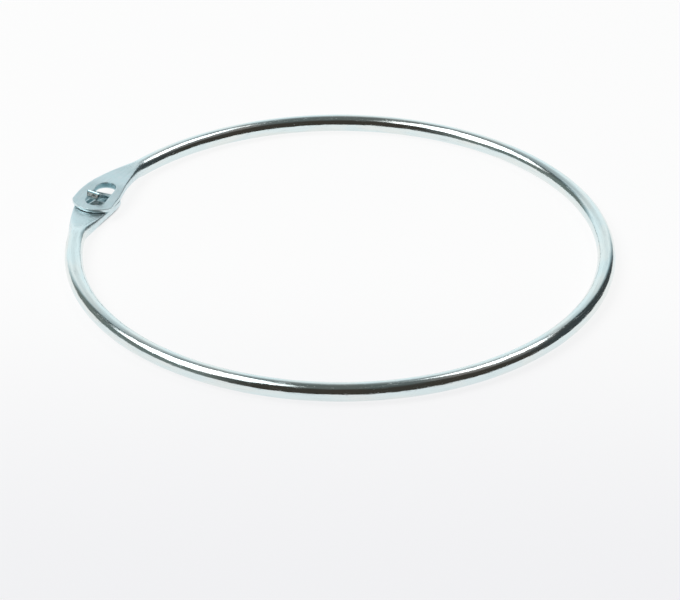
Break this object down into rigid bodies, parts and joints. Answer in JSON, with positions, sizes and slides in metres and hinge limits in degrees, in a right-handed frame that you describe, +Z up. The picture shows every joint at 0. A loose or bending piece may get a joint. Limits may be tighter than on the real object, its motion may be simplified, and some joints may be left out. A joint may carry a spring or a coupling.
{
  "type": "key ring",
  "caption": "Large open-up ring of round wire whose flattened ends lap and lock: a tongue lanced from one end rises through a slot in the other.",
  "frame": {"origin": "centre of the ring, on the surface that it lies on", "axes": "+Z up, square to the plane of the ring; +X and +Y lie in its plane, and the lock sits 161.7 degrees round from +X"},
  "size_m": [0.1223, 0.122, 0.0049],
  "materials": {
    "zinc_plated_steel": "bright blue-white zinc plate on spring steel, with fine draw marks along the wire"
  },
  "bodies": {
    "root": {"wire_ring": "zinc_plated_steel"}
  },
  "joints": []
}
